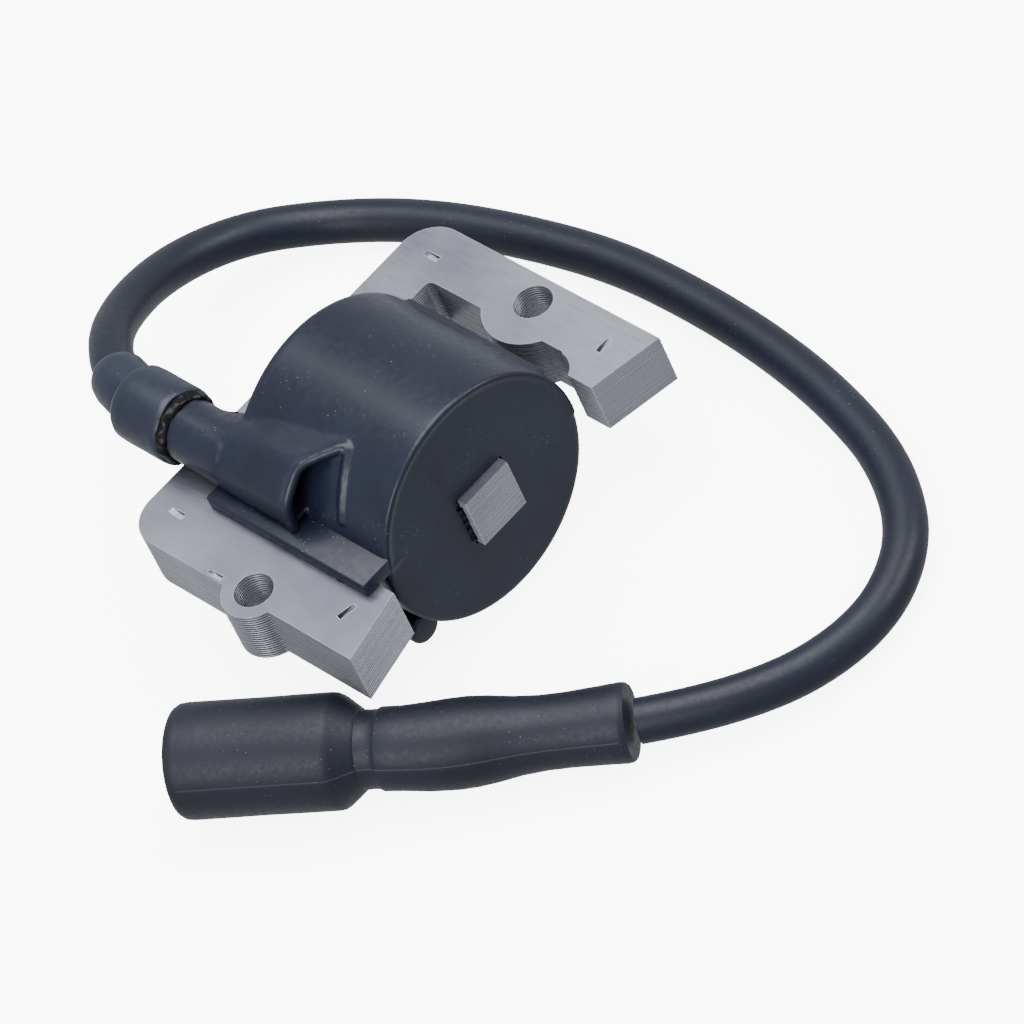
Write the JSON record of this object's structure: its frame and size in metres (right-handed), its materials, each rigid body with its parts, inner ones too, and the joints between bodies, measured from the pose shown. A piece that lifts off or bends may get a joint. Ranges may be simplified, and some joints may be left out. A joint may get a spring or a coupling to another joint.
{
  "type": "ignition coil",
  "caption": "Small-engine ignition coil: potted round coil on an E-shaped laminated core, with a high-tension lead and spark-plug boot.",
  "frame": {"origin": "midway between the two mounting holes, on the underside of the lamination stack", "axes": "+Z along the mounting holes, away from the engine; -Y faces the flywheel; +X is the side of the lead's loop"},
  "size_m": [0.123, 0.1521, 0.0417],
  "materials": {
    "lamination_steel": "satin",
    "case_plastic": "satin",
    "potting_resin": "gloss",
    "bobbin_plastic": "matte",
    "copper_wire": "gloss",
    "insulating_film": "matte",
    "board": "matte",
    "component_black": "matte",
    "terminal_brass": "satin",
    "lead_rubber": "satin",
    "sleeve_film": "satin",
    "sealant": "gloss",
    "boot_rubber": "satin",
    "clip_steel": "satin"
  },
  "bodies": {
    "root": {"core_stack": "lamination_steel", "top_lamination": "lamination_steel", "bottom_lamination": "lamination_steel", "coil_case": "case_plastic", "leg_ledge": "case_plastic", "lower_rib": "case_plastic", "potting_fill": "potting_resin", "primary_bobbin": "bobbin_plastic", "primary_winding": "copper_wire", "insulation_wrap": "insulating_film", "secondary_bobbin": "bobbin_plastic", "secondary_winding": "copper_wire", "trigger_board": "board", "switching_transistor": "component_black", "module_capacitor": "component_black", "module_resistors": "component_black", "ht_terminal": "terminal_brass", "stop_terminal": "terminal_brass", "ground_strap": "terminal_brass", "lead_sheath": "lead_rubber", "outer_sleeve": "sleeve_film", "small_sleeve": "sleeve_film", "sealant_bead": "sealant", "plug_boot": "boot_rubber", "plug_clip": "clip_steel", "clip_seat": "boot_rubber"}
  },
  "joints": []
}
